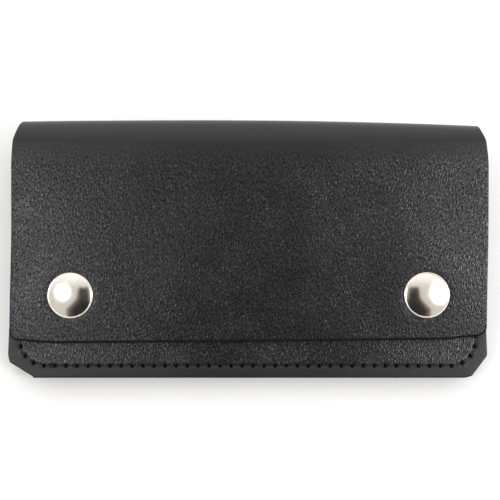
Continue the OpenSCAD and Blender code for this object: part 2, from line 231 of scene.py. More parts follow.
def grained_leather(name, dark, light, relief=0.13, turn=0.0):
    """Black leather with a fine embossed grain, drawn smooth where it is stretched over the fold.

    The grain shows in the relief, and in the furrows being duller and darker than what lies between.
    turn, in degrees, is how far the grain's short creases lean over.
    """
    g = Graph(name)
    flat = g.attribute("flat")
    stretched = g.attribute("stretch", output=2)
    turned = {0: flat, 2: (0, 0, math.radians(turn))}
    leaning = g.node("ShaderNodeMapping", turned, vector_type="POINT")
    wander = g.warp(leaning, g.noise(leaning, 0.45, 2, output=1), 0.9)
    cells = g.cells(g.scaled(wander, (1.35, 0.75, 1.0)), 1.1)
    grain = g.fit(cells, 0.0, 0.34)
    creases = g.noise(g.scaled(wander, (2.0, 0.8, 1.0)), 1.0, 1.3, 0.5)
    pores = g.noise(flat, 3.2, 2, 0.6)
    patches = g.noise(flat, 0.05, 3, 0.55)
    height = g.mixed(g.mixed(grain, 0.22, creases, 0.9), 1.0, pores, 0.07)
    flattened = g.math("SUBTRACT", 1.0, g.math("MULTIPLY", stretched, 0.86))
    depth = g.math("MULTIPLY", flattened, g.fit(patches, 0.3, 0.7, 0.7, 1.15))
    normal = g.bump(g.math("MULTIPLY", height, depth), relief)
    worn = g.mixed(pores, 0.5, patches, 0.5)
    dullness = g.mixed(g.fit(worn, 0.3, 0.7, 0.21, 0.28), 1.0, stretched, 0.16)
    furrows = g.noise(g.scaled(wander, (2.4, 1.0, 1.0)), 1.0, 2.5, 0.6)
    uneven = g.math("MULTIPLY", g.fit(furrows, 0.36, 0.64, -1.0, 1.0), flattened)
    tone = g.math("ADD", g.mixed(patches, 0.3, uneven, 0.3), 0.35)
    sheen = g.math("ADD", g.math("MULTIPLY", uneven, 0.3), 0.52)
    return g.finish(
        Base_Color=g.ramp(tone, [(0.1, dark), (0.9, light)]), Roughness=dullness, Normal=normal,
        Specular_IOR_Level=sheen, Specular_Tint=(0.965, 0.97, 1.0, 1.0), IOR=1.4,
    )


def cut_edge(name, dark, light):
    """A dyed raw edge: fibres in layers along the cut."""
    g = Graph(name)
    place = g.object_mm()
    fibres = g.noise(g.scaled(place, (0.6, 0.6, 4.0)), 1.6, 3, 0.65)
    specks = g.noise(place, 2.8, 2, 0.6)
    height = g.mixed(fibres, 1.0, specks, 0.5)
    return g.finish(
        Base_Color=g.ramp(fibres, [(0.3, dark), (0.72, light)]),
        Roughness=g.fit(specks, 0.3, 0.7, 0.55, 0.8), Normal=g.bump(height, 0.1), IOR=1.2,
    )


def flesh_side(name, dark, light):
    """The napped inner side of the leather."""
    g = Graph(name)
    flat = g.attribute("flat")
    nap = g.noise(flat, 2.6, 4, 0.7)
    strokes = g.noise(g.scaled(flat, (0.12, 0.5, 1.0)), 0.5, 3, 0.6)
    tone = g.mixed(nap, 0.55, strokes, 0.45)
    return g.finish(
        Base_Color=g.ramp(tone, [(0.3, dark), (0.7, light)]),
        Roughness=g.fit(nap, 0.3, 0.7, 0.82, 0.96), Normal=g.bump(nap, 0.09),
        Sheen_Weight=0.35, Sheen_Roughness=0.5,
    )


def polished_nickel(name, tint, rough, scratch=0.0016):
    """Bright nickel with fine rubbing marks and a few dull spots."""
    g = Graph(name)
    place = g.object_mm()
    rubbing = g.noise(g.scaled(place, (1.0, 6.0, 1.0)), 3.0, 3, 0.7)
    dull = g.noise(place, 0.45, 3, 0.6)
    both = g.mixed(rubbing, 0.35, dull, 0.65)
    shade = tuple(0.93 * c for c in tint)
    return g.finish(
        Base_Color=g.ramp(dull, [(0.3, shade), (0.7, tint)]), Metallic=1.0,
        Roughness=g.fit(both, 0.35, 0.65, *rough), Normal=g.bump(rubbing, scratch),
    )


def twisted_thread(name, dark, light):
    """Waxed thread; the plies themselves are in the mesh."""
    g = Graph(name)
    place = g.object_mm()
    fibres = g.noise(place, 9.0, 3, 0.7)
    return g.finish(
        Base_Color=g.ramp(fibres, [(0.3, dark), (0.7, light)]),
        Roughness=g.fit(fibres, 0.3, 0.7, 0.5, 0.72), Normal=g.bump(fibres, 0.03),
    )


def woven_tape(name, dark, light):
    """Zipper tape: a fine herringbone of ribs along the tape."""
    g = Graph(name)
    place = g.object_mm()
    warp = g.ribs(place, 0.55, 0.25, "Y")
    weft = g.ribs(place, 0.8, 0.3, "X")
    twill = g.ribs(place, 0.45, 0.2, "DIAGONAL")
    weave = g.mixed(warp, weft, twill, 0.5)
    fuzz = g.noise(place, 3.0, 2, 0.6)
    return g.finish(
        Base_Color=g.ramp(g.mixed(weave, 0.6, fuzz, 0.4), [(0.2, dark), (0.9, light)]),
        Roughness=0.86, Normal=g.bump(g.math("ADD", weave, fuzz), 0.1),
        Sheen_Weight=0.25, Sheen_Roughness=0.45,
    )


LEATHER = grained_leather(
    "grained_leather", (0.005, 0.005, 0.006), (0.0135, 0.0135, 0.0155), turn=-24
)
BAND = grained_leather("front_leather", (0.005, 0.005, 0.006), (0.0135, 0.0135, 0.015), turn=4)
LINING = grained_leather(
    "pocket_leather", (0.007, 0.0068, 0.0072), (0.0145, 0.0142, 0.0148), relief=0.09, turn=70
)
RAW_EDGE = cut_edge("leather_edge", (0.002, 0.002, 0.002), (0.012, 0.0112, 0.011))
SUEDE = flesh_side("leather_flesh", (0.014, 0.0135, 0.014), (0.036, 0.034, 0.034))
NICKEL = polished_nickel("snap_nickel", (0.85, 0.81, 0.74), (0.12, 0.17))
ZIP_METAL = polished_nickel("zipper_metal", (0.74, 0.72, 0.68), (0.2, 0.32), 0.004)
EYELET_METAL = polished_nickel("eyelet_nickel", (0.83, 0.81, 0.77), (0.16, 0.24), 0.003)
THREAD = twisted_thread("thread", (0.003, 0.003, 0.0034), (0.012, 0.012, 0.013))
TAPE = woven_tape("zipper_tape", (0.006, 0.006, 0.0065), (0.024, 0.024, 0.025))
# Each list is for a sheet's outer face, its cut edge and its inner face
HIDE = [LEATHER, RAW_EDGE, SUEDE]
FRONT_HIDE = [BAND, RAW_EDGE, SUEDE]
POCKET_HIDE = [LINING, RAW_EDGE, SUEDE]

# ---------------------------------------------------------------- mesh helpers


def mesh(name, points, faces, materials, zones=None, attributes=None, smooth_faces=True):
    """A mesh object from points in millimetres. Attributes are lists of numbers or of vectors."""
    points = np.asarray(points, float)
    data = bpy.data.meshes.new(name)
    data.from_pydata((points * MM).tolist(), [], [list(face) for face in faces])
    for material in materials:
        data.materials.append(material)
    if zones is not None:
        data.polygons.foreach_set("material_index", np.asarray(zones, np.int32))
    data.polygons.foreach_set("use_smooth", [smooth_faces] * len(data.polygons))
    for key, values in (attributes or {}).items():
        values = np.asarray(values, np.float32)
        kind = "FLOAT_VECTOR" if values.ndim == 2 else "FLOAT"
        layer = data.attributes.new(key, kind, "POINT")
        layer.data.foreach_set("vector" if values.ndim == 2 else "value", values.ravel())
    data.update()
    made = bpy.data.objects.new(name, data)
    bpy.context.scene.collection.objects.link(made)
    return made


def place(piece, slot, body, *nodes):
    """Says which CAD nodes a piece stands for, and the body that it rides on. slot, its material slot,
    is not used.
    """
    if nodes:
        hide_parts(*nodes)
    if body:
        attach(piece, body)
    return piece


def marks(*parts, gap=0.06):
    """Grid lines from several lists of values, in order and no closer than a gap."""
    values = np.sort(np.concatenate([np.ravel(part) for part in parts]))
    kept = [values[0]]
    for value in values[1:]:
        if value - kept[-1] >= gap:
            kept.append(value)
    kept[-1] = values[-1]
    return np.array(kept)


def around(places, offsets):
    """Every place plus every offset."""
    return np.add.outer(np.asarray(places, float), np.asarray(offsets, float)).ravel()


def both_sides(values):
    return np.concatenate([-np.asarray(values), np.asarray(values)])


def smooth(value, low, high):
    """A smooth step from 0 at low to 1 at high."""
    t = np.clip((value - low) / (high - low), 0, 1)
    return t * t * (3 - 2 * t)


def cloud(x, y, size, seed):
    """Smooth noise from -1 to 1, with features of about this size."""
    layer = 7.31 * seed
    places = zip(x.ravel(), y.ravel())
    values = [noise.noise(Vector((a / size, b / size, layer))) for a, b in places]
    return np.reshape(values, x.shape)


def rounded(x, y, half, low, r):
    """Bends the two lower corners of a rectangle's grid round to radius r."""
    a = np.clip((np.abs(x) - (half - r)) / r, 0, 1)
    b = np.clip((low + r - y) / r, 0, 1)
    corner = (a > 0) & (b > 0)
    bent_x = np.sign(x) * (half - r + r * a * np.sqrt(1 - b * b / 2))
    bent_y = low + r - r * b * np.sqrt(1 - a * a / 2)
    return np.where(corner, bent_x, x), np.where(corner, bent_y, y)


def inside(x, y, half, low, r, high=None):
    """How far each point lies inside the outline with two rounded lower corners."""
    d = np.minimum(half - np.abs(x), y - low)
    dx = np.abs(x) - (half - r)
    dy = low + r - y
    d = np.where((dx > 0) & (dy > 0), r - np.hypot(dx, dy), d)
    return d if high is None else np.minimum(d, high - y)


def layer_outline(x, y, inset=0.0, top=None):
    """Bends a grid to the outline of a layer of the body. Returns x, y and the distance inside it."""
    half, low, r = BODY_W / 2 - inset, LOW_Y + inset, CORNER_R - inset
    x, y = rounded(x, y, half, low, r)
    d = inside(x, y, half, low, r, top)
    for side, cut, way in CORNER_CUTS:
        dx, dy = x - side * (half - r), y - low - r
        away = np.maximum(np.hypot(dx, dy), 1e-9)
        facing = (dx * math.cos(way) + dy * math.sin(way)) / away
        keep = np.minimum(1.0, (cut - inset) / r / np.maximum(facing, 0.1))
        keep = np.where((dx * side > 0) & (dy < 0), keep, 1.0)
        x, y = x + dx * (keep - 1), y + dy * (keep - 1)
        dx, dy = x - side * (half - r), y - low - r
        d = np.minimum(d, cut - inset - dx * math.cos(way) - dy * math.sin(way))
    return x, y, d


def edge_drop(d, r=0.4):
    """How far a rounded edge of radius r falls away at a distance d inside it."""
    short = np.clip(r - d, 0, r)
    return r - np.sqrt(r * r - short * short)


def open_hole(x, y, gone, at, r):
    """Draws a grid in round a hole. Returns x, y and the points that fall inside a hole."""
    dx, dy = x - at[0], y - at[1]
    away = np.maximum(np.hypot(dx, dy), 1e-9)
    inner = away < r
    lost = inner[:-1, :-1] | inner[1:, :-1] | inner[:-1, 1:] | inner[1:, 1:]
    near = np.zeros_like(inner)
    for rows in (slice(0, -1), slice(1, None)):
        for columns in (slice(0, -1), slice(1, None)):
            near[rows, columns] |= lost
    ring = near & ~inner
    x = np.where(ring, at[0] + dx * r / away, x)
    y = np.where(ring, at[1] + dy * r / away, y)
    return x, y, gone | inner


def slab(
    name, outer, inner, flat, materials, gone=None, stretch=None, joined=None, dark=None, edge_rows=3
):
    """A closed sheet between two grids of points.

    Zones: 0 outer face, 1 cut edge, 2 inner face. Points marked gone are left out, and so are the
    faces at them. Faces between points marked dark take the cut edge's dark material on the outer
    face. This is painted shade: it gives the shadow inside the needle holes, and, together with the
    dyed edge itself, the shadow line under the flap's lower edge. joined is the row, 0 or -1, where
    the sheet carries on as another piece: the edge there stays sharp, so both pieces are shaded as
    one.
    """
    rows, columns = outer.shape[:2]
    count = rows * columns
    index = np.arange(count).reshape(rows, columns)
    quads = np.stack([index[:-1, :-1], index[:-1, 1:], index[1:, 1:], index[1:, :-1]], -1)
    quads = quads.reshape(-1, 4)
    if gone is not None:
        quads = quads[~gone.ravel()[quads].any(1)]
    edges = quads[:, [0, 1, 1, 2, 2, 3, 3, 0]].reshape(-1, 2)
    codes = edges[:, 0].astype(np.int64) * count + edges[:, 1]
    back = edges[:, 1].astype(np.int64) * count + edges[:, 0]
    rim = edges[~np.isin(codes, back)]
    rim_points = np.unique(rim)
    slot = np.full(count, -1)
    slot[rim_points] = np.arange(len(rim_points))
    top, bottom = outer.reshape(-1, 3), inner.reshape(-1, 3)
    flat_top = flat.reshape(-1, 3)
    flat_low = flat_top + [0, 0, 5.0]
    points, flats = [top, bottom], [flat_top, flat_low]
    faces = [quads, quads[:, ::-1] + count]
    face_zone = np.zeros(len(quads))
    # Painted shade: faces between points marked dark get the cut edge's dark material
    if dark is not None:
        face_zone[dark.ravel()[quads].all(1)] = 1
    zones = [face_zone, np.full(len(quads), 2)]
    loops = [(rim[:, 0], rim[:, 1])]
    for row in range(1, edge_rows):
        share = row / edge_rows
        start = 2 * count + (row - 1) * len(rim_points)
        points.append(top[rim_points] * (1 - share) + bottom[rim_points] * share)
        flats.append(flat_top[rim_points] * (1 - share) + flat_low[rim_points] * share)
        loops.append((start + slot[rim[:, 0]], start + slot[rim[:, 1]]))
    loops.append((rim[:, 0] + count, rim[:, 1] + count))
    for (a, b), (c, d) in zip(loops, loops[1:]):
        faces.append(np.stack([b, a, c, d], -1))
        zones.append(np.ones(len(rim)))
    points, flats = np.concatenate(points), np.concatenate(flats)
    faces, zones = np.concatenate(faces), np.concatenate(zones)
    stretched = np.zeros(len(points))
    if stretch is not None:
        stretched[:count] = stretch.ravel()
        stretched[count:2 * count] = stretch.ravel()
    used = np.unique(faces)
    renumber = np.zeros(len(points), int)
    renumber[used] = np.arange(len(used))
    made = mesh(
        name, points[used], renumber[faces], materials, zones,
        {"flat": flats[used], "stretch": stretched[used]},
    )
    if joined is not None:
        ends = np.concatenate([index[joined], index[joined] + count])
        is_end = np.zeros(len(points), bool)
        is_end[ends] = True
        is_end = is_end[used]
        pairs = np.zeros(2 * len(made.data.edges), int)
        made.data.edges.foreach_get("vertices", pairs)
        sharp = is_end[pairs.reshape(-1, 2)].all(1)
        layer = made.data.attributes.new("sharp_edge", "BOOLEAN", "EDGE")
        layer.data.foreach_set("value", sharp)
    return made


def lathe(name, profile, material, at, tilt=0.0, sides=96, closed=False):
    """Turns a profile of (radius, height), drawn from the top outwards and down, round an axis."""
    angles = np.arange(sides) * 2 * math.pi / sides
    r, h = np.array(profile, float).T
    x = r[:, None] * np.cos(angles)
    y = r[:, None] * np.sin(angles)
    z = np.repeat(h[:, None], sides, 1)
    c, s = math.cos(tilt), math.sin(tilt)
    points = np.stack([x, y * c - z * s, y * s + z * c], -1).reshape(-1, 3) + np.array(at)
    faces = []
    rings = len(profile)
    for i in range(rings if closed else rings - 1):
        k = (i + 1) % rings
        for j in range(sides):
            this, next_one = (i * sides, k * sides), (j + 1) % sides
            if r[i] < 1e-6:
                faces.append([this[0], this[1] + j, this[1] + next_one])
            elif r[k] < 1e-6:
                faces.append([this[0] + j, this[1], this[0] + next_one])
            else:
                faces.append([this[0] + j, this[1] + j, this[1] + next_one, this[0] + next_one])
    used = sorted({p for face in faces for p in face})
    renumber = {old: new for new, old in enumerate(used)}
    faces = [[renumber[p] for p in face] for face in faces]
    return mesh(name, points[used], faces, [material])


def bend(r, h, radius, start, end, steps=6):
    """Points of an arc in a profile, from one angle to another in degrees, outwards being 0."""
    angles = np.radians(np.linspace(start, end, steps + 1))
    return [(r + radius * math.cos(a), h + radius * math.sin(a)) for a in angles]


# ---------------------------------------------------------------- the seam


def seam_at(s):
    """Point and heading of the perimeter seam at a distance from its upper left end."""
    if s < SEAM_SIDE:
        return -SEAM_X, SEAM_TOP - s, -math.pi / 2
    if s > SEAM_LENGTH / 2:
        x, y, heading = seam_at(SEAM_LENGTH - s)
        return -x, y, -heading
    if s < SEAM_SIDE + SEAM_BEND:
        turn = (s - SEAM_SIDE) / SEAM_R
        x = SEAM_X - SEAM_R + SEAM_R * math.cos(turn)
        return -x, SEAM_LOW + SEAM_R - SEAM_R * math.sin(turn), turn - math.pi / 2
    return s - SEAM_LENGTH / 2, SEAM_LOW, 0.0


def seam_distance(x, y):
    """How far each point lies from the perimeter seam."""
    across = np.abs(x) - (SEAM_X - SEAM_R)
    down = SEAM_LOW + SEAM_R - y
    bend_away = np.abs(np.hypot(across, down) - SEAM_R)
    straight = np.where(across > down, np.abs(np.abs(x) - SEAM_X), np.abs(y - SEAM_LOW))
    return np.where((across > 0) & (down > 0), bend_away, straight)


HOLES = [seam_at(i * PITCH) for i in range(STITCHES + 1)]


def side_x(y):
    """Half the width of the body at a height y; the sides draw in a little towards the fold."""
    share = (y - LOW_Y - CORNER_R) / (FOLD_Y - LOW_Y - CORNER_R)
    return BODY_W / 2 - (BODY_W - FLAP_W) / 2 * np.clip(share, 0, 1)


def needle_holes(x, y, depth):
    """Depth of the funnels that the needle and thread leave, drawn out along the seam."""
    long, across = 0.62, 0.5
    down = np.zeros_like(x)
    for hole_x, hole_y, heading in HOLES:
        dx, dy = x - hole_x, y - hole_y
        near = (np.abs(dx) < 2) & (np.abs(dy) < 2)
        along = dx * math.cos(heading) + dy * math.sin(heading)
        away = -dx * math.sin(heading) + dy * math.cos(heading)
        funnel = depth * np.exp(-(((along / long) ** 2 + (away / across) ** 2) ** 1.5))
        down = np.where(near, np.maximum(down, funnel), down)
    return down


def thread(name, paths, headings, radius=(0.2, 0.17)):
    """Lengths of three-ply thread, one along each path of points, in one mesh.

    radius is half the thread's width and half its height, as it is pressed flat on the leather.
    """
    sides, points, faces = 10, [], []
    angles = np.arange(sides) * 2 * math.pi / sides
    for path, heading in zip(paths, headings):
        path = np.array(path)
        steps = np.gradient(path, axis=0)
        steps /= np.linalg.norm(steps, axis=1)[:, None]
        side = np.array([-math.sin(heading), math.cos(heading), 0.0])
        up = np.cross(steps, side)
        up /= np.linalg.norm(up, axis=1)[:, None]
        run = np.concatenate([[0], np.cumsum(np.linalg.norm(np.diff(path, axis=0), axis=1))])
        first = len(points)
        for centre, out, s in zip(path, up, run):
            ply = 1 + 0.1 * np.cos(3 * angles + 5.5 * s)
            for angle, k in zip(angles, ply):
                wide, tall = radius[0] * k * math.cos(angle), radius[1] * k * math.sin(angle)
                points.append(centre + side * wide + out * tall)
        for ring in range(len(path) - 1):
            a = first + ring * sides
            for j in range(sides):
                k = (j + 1) % sides
                faces.append([a + j, a + sides + j, a + sides + k, a + k])
        last = first + (len(path) - 1) * sides
        points += [path[0], path[-1]]
        for j in range(sides):
            k = (j + 1) % sides
            faces.append([len(points) - 2, first + j, first + k])
            faces.append([len(points) - 1, last + k, last + j])
    return mesh(name, points, faces, [THREAD])


def taut(run, height):
    """A thread drawn tight over a stepped surface: the upper hull of the heights along it."""
    hull = []
    for s, z in zip(run, height):
        while len(hull) > 1:
            (s0, z0), (s1, z1) = hull[-2:]
            if (z1 - z0) * (s - s0) <= (z - z0) * (s1 - s0):
                hull.pop()
            else:
                break
        hull.append((s, z))
    return np.interp(run, *zip(*hull))


def stitch(start, end, level, dive=0.7, lift=0.15, up=1.0, gap=0.3):
    """Path of one stitch over a surface, diving into the needle hole at each end.

    gap is how far short of the needle holes it starts and stops, and up is -1 on the back.
    """
    t = np.concatenate([[0.0, 0.02, 0.05, 0.1], np.linspace(0.16, 0.84, 11), [0.9, 0.95, 0.98, 1.0]])
    a, b = np.array(start[:2]), np.array(end[:2])
    span = np.linalg.norm(b - a)
    way = (gap + (span - 2 * gap) * t) / span
    flat = a + np.outer(way, b - a)
    base = taut(way, np.array([level(x, y) for x, y in flat]))
    rise = lift * (1 - (2 * t - 1) ** 4) - dive * np.abs(2 * t - 1) ** 16
    return np.column_stack([flat, base + up * rise])


# ---------------------------------------------------------------- the cover: back, fold and flap


# The fold is highest a little to the left of the middle, at -CROWN_X, and flatter towards its ends,
# most at the right. It draws in at the crown and at the shoulder, where the flap starts. The flap
# sits slightly to the right
CROWN_DROP = 1.55
CROWN_X = 17.0
CROWN_TAPER = 2.2
SHOULDER_TAPER = 0.8
SHOULDER_SHIFT = 0.2
FLAP_SKEW = 0.8


def cover(x, s, lift):
    """Points of the cover from flat coordinates.

    s runs along the leather: 0 where the fold starts, below 0 down the back, and past FOLD_LENGTH
    down the flap. lift is how far the surface stands proud.
    """
    angle = np.clip(s, 0, FOLD_LENGTH) / FOLD_R - math.pi / 2
    over = s - np.clip(s, 0, FOLD_LENGTH)
    out = np.stack([np.zeros_like(s), np.cos(angle), np.sin(angle)], -1)
    crown = np.maximum(np.cos(angle), 0) ** 1.2
    off_crown = (x + CROWN_X) / BODY_W * 2
    flatter = 0.15 + CROWN_DROP * off_crown ** 2 * np.where(off_crown > 0, 1.0, 0.5)
    y = FOLD_Y + (FOLD_R - flatter) * np.cos(angle) - over * np.sin(angle)
    z = FOLD_R + FOLD_R * np.sin(angle) + over * np.cos(angle)
    straighter = 0.85 * smooth(s, FOLD_LENGTH + 25.0, FOLD_LENGTH + FLAP_REACH)
    skew = FLAP_SKEW * smooth(s, -60.0, 0.0) * (1 - straighter)
    shoulder = smooth(s, FOLD_LENGTH * 0.56, FOLD_LENGTH * 0.84)
    shoulder = shoulder * smooth(s, FOLD_LENGTH + 8, FOLD_LENGTH - 4)
    taper = (CROWN_TAPER * crown + SHOULDER_TAPER * shoulder) / BODY_W * 2
    x = x * (1 - taper) + skew - SHOULDER_SHIFT * shoulder
    return np.stack([x, y, z], -1) + out * lift[..., None]


FOLD_LINES = marks(np.arange(0.5, SPLIT, 0.62), SPLIT - np.array([0.0, 0.09, 0.2, 0.36]))


def cover_back():
    """Back of the wallet and the lower half of the fold."""
    xs = marks(
        both_sides(BODY_W / 2 - EDGE), both_sides(np.arange(69.5, 80.9, 0.21)),
        EYELET_X + np.arange(-6.5, 6.6, 0.5), np.arange(-69, 69.5, 2.2), gap=0.1,
    )
    back = LOW_Y - FOLD_Y
    ss = marks(
        back + EDGE, back + np.arange(1.2, 3.4, 0.6), back + np.arange(3.4, 14.0, 0.21),
        back + np.arange(15, -back, 2.4), EYELET_Y - FOLD_Y + np.arange(-6.5, 6.6, 0.5),
        [0.0], FOLD_LINES, gap=0.08,
    )
    x, s = np.meshgrid(xs, ss)
    x, y, d = layer_outline(x, s + FOLD_Y)
    s = y - FOLD_Y
    x = x * side_x(y) / (BODY_W / 2)
    eyelet = (EYELET_X, EYELET_Y - FOLD_Y)
    x, s, gone = open_hole(x, s, np.zeros(x.shape, bool), eyelet, EYELET_HOLE_R)
    y = s + FOLD_Y
    seam = np.where(y < SEAM_TOP + 0.6, seam_distance(x, y), 9.0)
    sunk = 0.47
    channel = sunk * smooth(seam, 0.56, 0.28)
    seat = sunk * smooth(np.hypot(x - EYELET_X, y - EYELET_Y), 5.5, 5.15)
    flat_back = smooth(s, -1.0, -9.0)
    soft = 0.14 * (cloud(x, s, 34, 1) + 0.4 * cloud(x, s, 11, 2) - 1.0)
    lift = soft * smooth(s, SPLIT, 6.0) * smooth(d, 0.0, 5.0)
    outer_lift = lift - edge_drop(d) - np.maximum(channel, seat) * flat_back
    outer = cover(x, s, outer_lift)
    pressed = 0.47 * smooth(d, 9.0, 6.0) * smooth(y, 30.5, 27.0)
    inner = cover(x, s, np.full_like(s, -COVER_T) - pressed + edge_drop(d, 0.3))
    stretch = smooth(s, -2.0, 3.0)
    flat = np.stack([x, s, 0 * x], -1)
    piece = slab("cover_back", outer, inner, flat, HIDE, gone, stretch, joined=-1)
    place(piece, "cover_leather", None, "back_panel", "fold_strip")
    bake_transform(piece)


def flap_surface(x, s):
    """How far the closed flap's face stands off its plane."""
    down = s - FOLD_LENGTH
    bow = -0.3 * np.sin(np.clip(down / FLAP_REACH, 0, 1) * math.pi)
    waves = 0.24 * cloud(x, s, 42, 5) + 0.06 * cloud(x, s, 15, 6)
    free = smooth(down, -4.0, 26.0)
    away = np.hypot(np.abs(x) - SNAP_X, s - SNAP_S)
    return (bow + waves) * free * (1 - smooth(away, 24.0, 8.0)) - 0.1 * smooth(away, 9.6, 7.4)


def cover_flap():
    """Upper half of the fold and the flap."""
    top = 2 * SPLIT
    around_snap = np.arange(-10.5, 10.6, 0.7)
    xs = marks(
        both_sides(FLAP_W / 2 - EDGE), both_sides(FLAP_W / 2 - np.arange(1.1, 4.5, 0.4)),
        both_sides(SNAP_X + around_snap), np.arange(-78, 78.5, 1.5), gap=0.12,
    )
    free = top + FLAP_REACH
    ss = marks(
        top - FOLD_LINES, [top], np.arange(top + 1.2, free - 4.6, 1.4), SNAP_S + around_snap,
        free - np.arange(0.92, 4.5, 0.4), free - EDGE, gap=0.08,
    )
    x, s = np.meshgrid(xs, ss)
    x, turned = rounded(x, -s, FLAP_W / 2, -free, FLAP_CORNER_R)
    s = -turned
    d = inside(x, -s, FLAP_W / 2, -free, FLAP_CORNER_R)
    # Painted shade: within a millimetre of the flap's lower edge, the outer face takes the dark
    # cut-edge material. It is partly dyed edge and partly stands in for the shadow line under the flap
    dark = (d < 0.97) & (s > free - 5.0)
    hang = np.clip((s - top) / FLAP_REACH, 0, 1)
    raised = 1.1 * smooth(np.abs(x), 66.0, 83.0) * smooth(s, free - 16.0, free)
    s = s - hang * FLAP_SLANT * x / FLAP_W - raised
    gone = np.zeros(x.shape, bool)
    for side in (-1, 1):
        x, s, gone = open_hole(x, s, gone, (side * SNAP_X, SNAP_S), BARREL_HOLE_R)
    lift = flap_surface(x, s)
    outer = cover(x, s, lift - edge_drop(d, 0.6))
    inner = cover(x, s, lift - COVER_T + edge_drop(d, 0.3))
    stretch = smooth(s, top + 9.0, top - 2.0)
    flat = np.stack([x, s, 0 * x], -1)
    piece = slab("cover_flap", outer, inner, flat, HIDE, gone, stretch, joined=0, dark=dark)
    place(piece, "cover_leather", None, "flap")
    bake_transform(piece)


# ---------------------------------------------------------------- the pockets


def plate(
    name, low, high, top, inset, materials, xs, ys, out=0.0, under=0.0, holes=(), right=None, worn=None
):
    """A layer of the body between two heights, up to its own upper edge.

    out and under are functions of x, y and the distance in from the edge, or numbers: how far the
    front and back faces stand forward of their level. right is its right edge, if it stops short of
    the
    outline. worn gives two things: where the grain is pressed flat, and where painted shade goes on
    the face in the cut edge's dark material.
    """
    x, y = np.meshgrid(xs, ys)
    bent_x, bent_y, d = layer_outline(x, y, inset, top)
    drawn = (side_x(bent_y) - inset) / (BODY_W / 2 - inset)
    if right is None:
        x, y = bent_x * drawn, bent_y
    else:
        x, y = np.where(x < 0, bent_x * drawn, x), np.where(x < 0, bent_y, y)
        d = np.minimum(d, right - x)
    gone = np.zeros(x.shape, bool)
    for at, radius in holes:
        x, y, gone = open_hole(x, y, gone, at, radius)
    forward = out(x, y, d) if callable(out) else out
    back = under(x, y, d) if callable(under) else under
    radius = min(0.4, 0.4 * (high - low))
    outer = np.stack([x, y, high + forward - edge_drop(d, radius)], -1)
    inner = np.stack([x, y, low + back + edge_drop(d, radius * 0.8)], -1)
    flat = np.stack([x + 31 * low, y + 17 * low, 0 * x], -1)
    # stretch is where the grain is pressed flat; dark is where painted shade goes
    stretch, dark = worn(x, y, d) if worn else (None, None)
    return slab(name, outer, inner, flat, materials, gone, stretch, dark=dark)


STITCH_LINES = np.array([0, 0.25, 0.55, 0.9, 1.4, 1.875, 2.35, 2.85, 3.2, 3.5])
BOTTOM_HOLES = [x for x, y, heading in HOLES if heading == 0.0]
SIDE_HOLES = [y for x, y, heading in HOLES if x > 0 and abs(x - SEAM_X) < 1e-6]


def front_panel():
    """Front of the pocket, with the seam sunk in it and a funnel at each needle hole."""
    xs = marks(
        both_sides(BODY_W / 2 - EDGE), both_sides(np.arange(82.2, 80.6, -0.5)),
        both_sides(np.arange(69.0, 80.6, 0.27)), around(BOTTOM_HOLES, STITCH_LINES), gap=0.14,
    )
    below = [y for y in SIDE_HOLES if y < FRONT_Y]
    ys = marks(
        LOW_Y + EDGE, LOW_Y + np.arange(1.2, 2.8, 0.5), LOW_Y + np.arange(2.8, 5.6, 0.17),
        LOW_Y + np.arange(5.6, 14.2, 0.3), around(below, STITCH_LINES[[0, 1, 3, 5, 7, 9]]),
        FRONT_Y - EDGE, gap=0.13,
    )

    def relief(x, y, d):
        seam = seam_distance(x, y)
        sunk = 0.1 * np.exp(-((seam / 0.34) ** 2))
        off_row = (y - FRONT_Y + ZIP_MARGIN) / 0.8
        upper_seam = 0.1 * np.exp(-(off_row ** 2)) * (np.abs(x) < SEAM_X - 3)
        pillow = 0.04 * smooth(seam, 0.3, 1.4) * smooth(d, 0.2, 1.6)
        waves = 0.1 * cloud(x, y, 26, 9) * smooth(seam, 0.8, 5.0)
        flat_zone = smooth(np.hypot(np.abs(x) - SNAP_X, y - STUD_Y), 9.0, 6.4)
        pricked = needle_holes(x, y, 1.3)
        return (pillow + waves) * (1 - flat_zone) - sunk - upper_seam - pricked - 0.1

    # The grain is pressed flat near the edge. Painted shade: the needle-hole funnels take the dark
    # cut-edge material, standing in for the shadow deep inside the holes
    def worn(x, y, d):
        return 0.9 * smooth(d, 4.2, 3.6), needle_holes(x, y, 1.0) > 0.3

    studs = [((side * SNAP_X, STUD_Y), BARREL_HOLE_R) for side in (-1, 1)]
    piece = plate(
        "front_panel_leather", front_low.z, front_high.z, FRONT_Y, 0, FRONT_HIDE, xs, ys,
        out=relief, holes=studs, worn=worn,
    )
    return place(piece, "cover_leather", "pocket_body", "front_panel")


def zipper_holes():
    """Where the needle went through along the zipper's two rows of stitches."""
    count = int(2 * (SEAM_X - 4) / ZIP_PITCH)
    return [(i - count / 2) * ZIP_PITCH for i in range(count + 1)]


